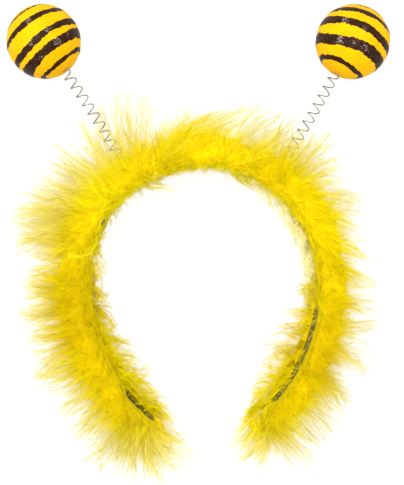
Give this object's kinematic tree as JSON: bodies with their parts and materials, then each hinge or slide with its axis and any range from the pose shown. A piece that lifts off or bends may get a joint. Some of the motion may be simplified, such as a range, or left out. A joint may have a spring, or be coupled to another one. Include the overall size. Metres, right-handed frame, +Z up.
{
  "type": "bee antenna headband",
  "caption": "Headband with a soft feather trim and striped foam balls on coil-spring antennas, worn over the crown of the head.",
  "frame": {"origin": "middle of the footprint, on the surface that the headband lies on", "axes": "+Y from the band's tips to its crown and on to the antennas, +Z up, across the width of the band"},
  "size_m": [0.2064, 0.2514, 0.0453],
  "materials": {
    "band": "glossy black",
    "down": "soft yellow down",
    "wire": "bright drawn wire",
    "ball": "yellow paint with black glitter stripes"
  },
  "bodies": {
    "headband": {"band": "band", "feather_trim": "down"},
    "left_antenna": {"left_spring": "wire", "left_ball": "ball"},
    "right_antenna": {"right_spring": "wire", "right_ball": "ball"}
  },
  "joints": [
    {"name": "left_sway", "type": "hinge", "parent": "headband", "child": "left_antenna", "pos_m": [-0.0367, 0.0279, 0.02], "axis": [0, 0, 1], "range_deg": [-25, 25], "stiffness_Nm_per_rad": 0.012, "deforming": ["left_spring"]},
    {"name": "right_sway", "type": "hinge", "parent": "headband", "child": "right_antenna", "pos_m": [0.0367, 0.0268, 0.02], "axis": [0, 0, 1], "range_deg": [-25, 25], "stiffness_Nm_per_rad": 0.012, "deforming": ["right_spring"]}
  ]
}
